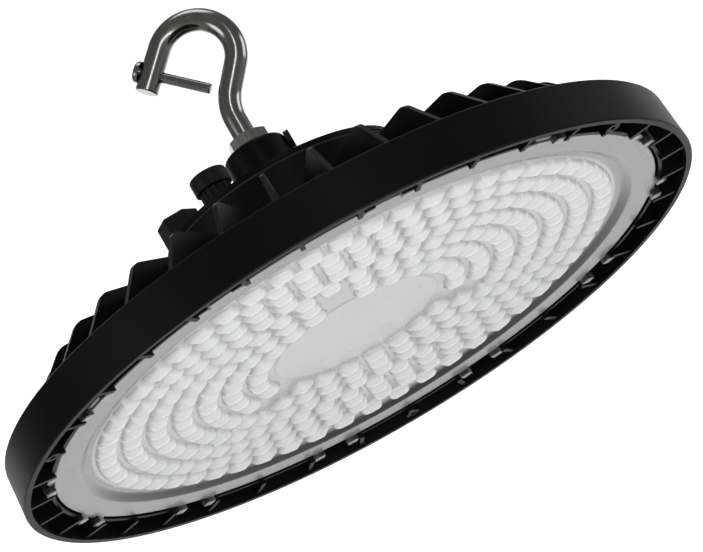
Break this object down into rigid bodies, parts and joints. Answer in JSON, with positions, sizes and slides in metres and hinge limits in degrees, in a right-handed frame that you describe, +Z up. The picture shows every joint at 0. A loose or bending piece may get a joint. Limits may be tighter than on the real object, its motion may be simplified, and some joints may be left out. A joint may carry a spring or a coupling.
{
  "type": "high bay light",
  "caption": "Round hanging industrial light: finned die-cast housing in a hoop, lens plate of lenslets, driver drum and a hook with a locking screw.",
  "frame": {"origin": "centre of the hoop's lower edge, on the surface the light stands on", "axes": "+Z up to the hook, the hook's bend lies in the XZ plane, its mouth faces -X"},
  "size_m": [0.323, 0.323, 0.1695],
  "materials": {
    "casting": "fine matt powder coat",
    "lens_plastic": "frosted clear plastic",
    "rubber": "dull",
    "board_white": "white solder mask",
    "package": "phosphor in a white frame",
    "zinc": "zinc plated",
    "pad": "soft grey sheet",
    "hook_steel": "polished",
    "black_steel": "black oxide",
    "black_plastic": "fine grain",
    "membrane": "woven film",
    "tray": "moulded",
    "board_green": "green solder mask",
    "transformer": "wound block with taped sides",
    "capacitor": "sleeve",
    "choke": "enamelled copper",
    "terminal": "moulded",
    "lead": "insulated lead"
  },
  "bodies": {
    "root": {"housing": "casting", "lens_plate": "lens_plastic", "lens_gasket": "rubber", "led_board": "board_white", "led_packages": "package", "board_screws": "zinc", "thermal_pad": "pad", "top_cover": "casting", "cover_gasket": "rubber", "cover_screws": "zinc", "hook": "hook_steel", "hook_nut": "hook_steel", "lock_screw": "black_steel", "safety_screw": "hook_steel", "gland_body": "black_plastic", "gland_cap": "black_plastic", "gland_seal": "rubber", "vent_body": "black_plastic", "vent_cap": "black_plastic", "vent_membrane": "membrane", "fitting_seals": "rubber", "locknuts": "black_plastic", "driver_tray": "tray", "driver_board": "board_green", "driver_screws": "zinc", "transformer": "transformer", "capacitors": "capacitor", "output_choke": "choke", "terminal_block": "terminal", "lead_grommet": "rubber", "led_leads": "lead"}
  },
  "joints": []
}
